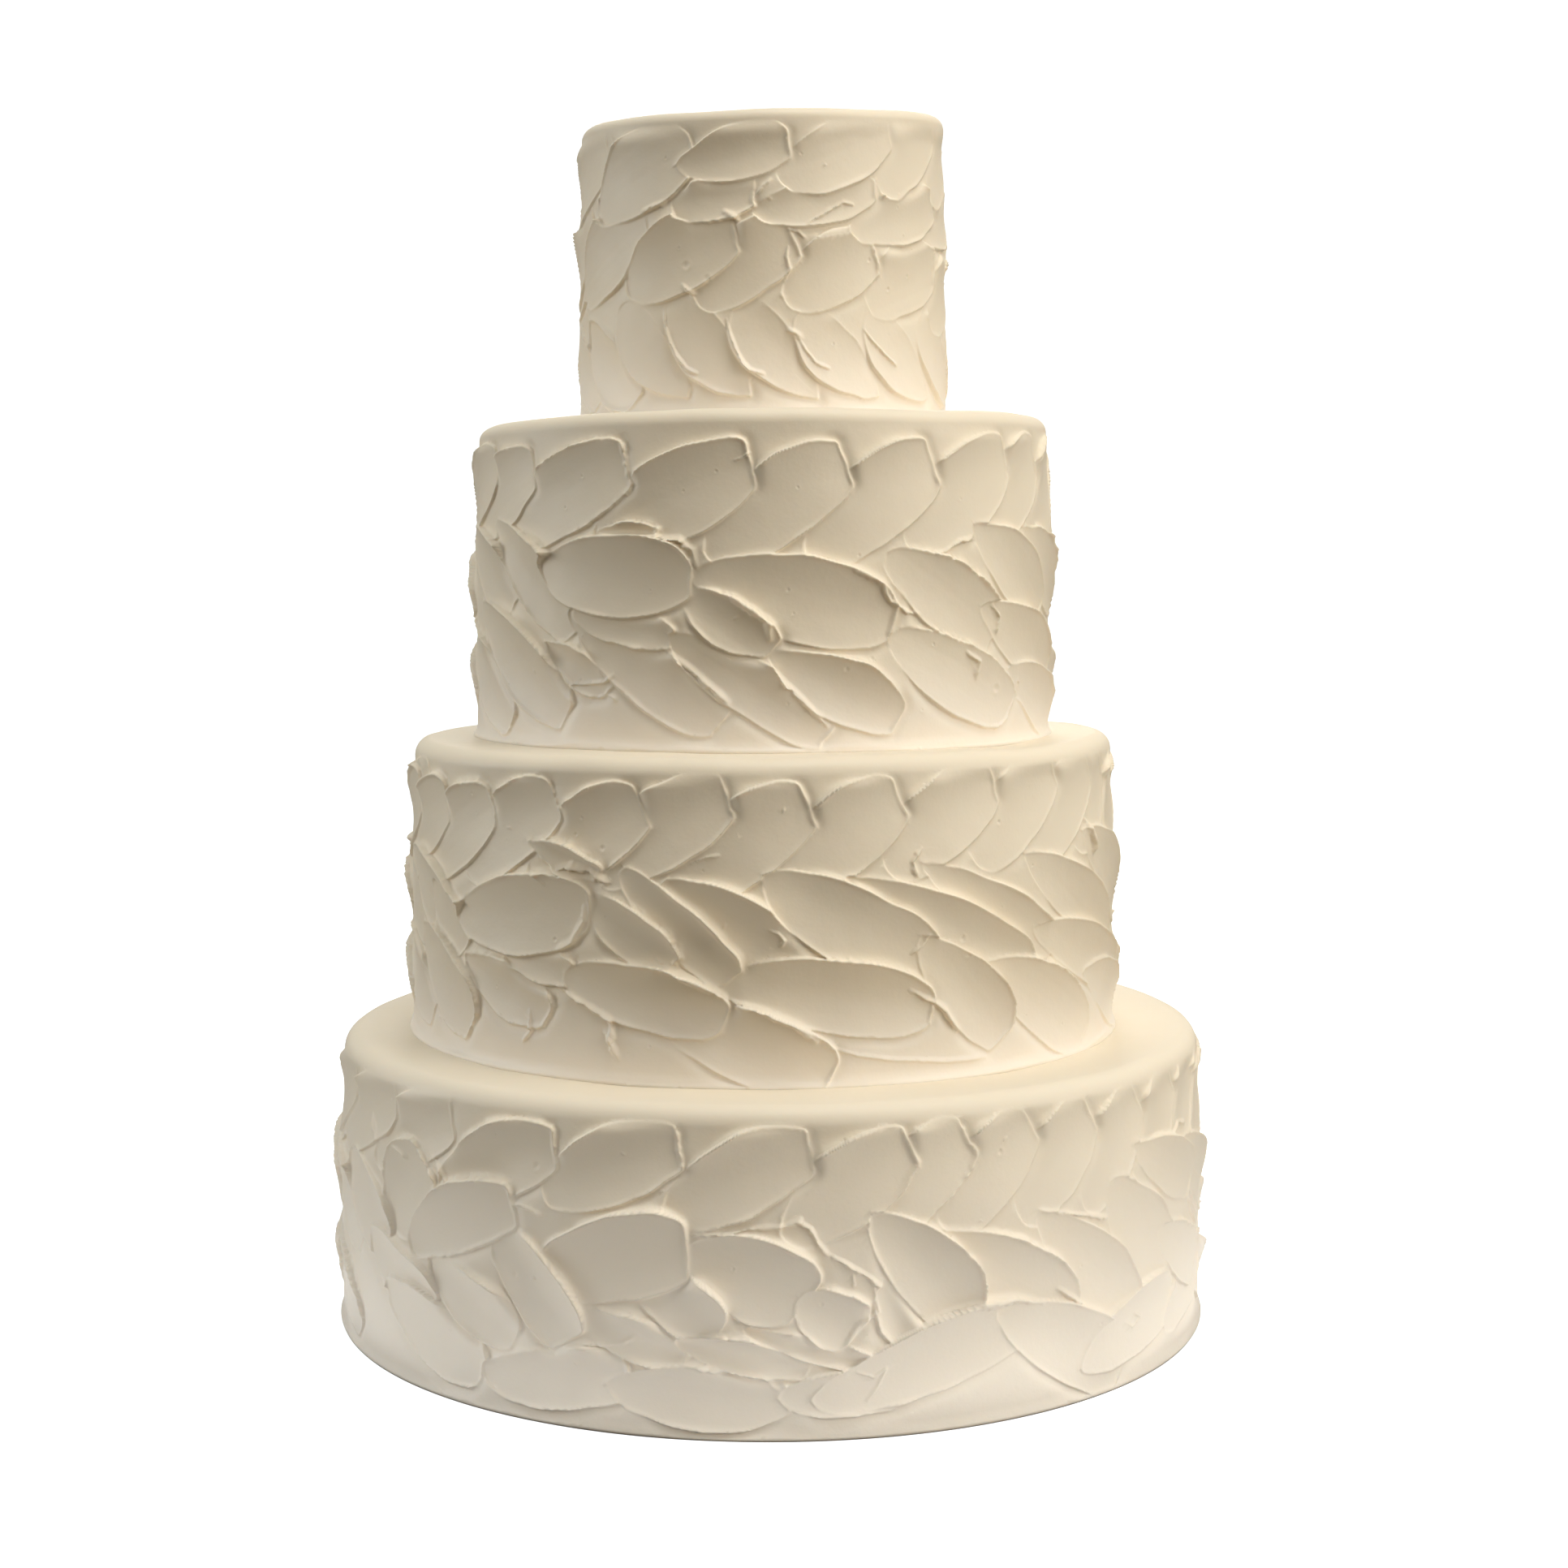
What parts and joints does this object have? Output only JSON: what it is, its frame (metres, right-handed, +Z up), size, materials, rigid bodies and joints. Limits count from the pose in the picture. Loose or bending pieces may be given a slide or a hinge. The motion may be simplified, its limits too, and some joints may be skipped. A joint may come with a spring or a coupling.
{
  "type": "wedding cake",
  "caption": "Tall stacked round wedding cake in ivory buttercream with overlapping palette-knife strokes, to stand on a table or a cake board.",
  "frame": {"origin": "Centre of the flat underside of the lowest tier.", "axes": "+Z runs up the stack, -Y faces the side that the picture shows, +X is to its right."},
  "size_m": [0.4014, 0.4004, 0.5372],
  "materials": {
    "buttercream": "satin"
  },
  "bodies": {
    "root": {"tier_1": "buttercream", "tier_2": "buttercream", "tier_3": "buttercream", "tier_4": "buttercream"}
  },
  "joints": []
}
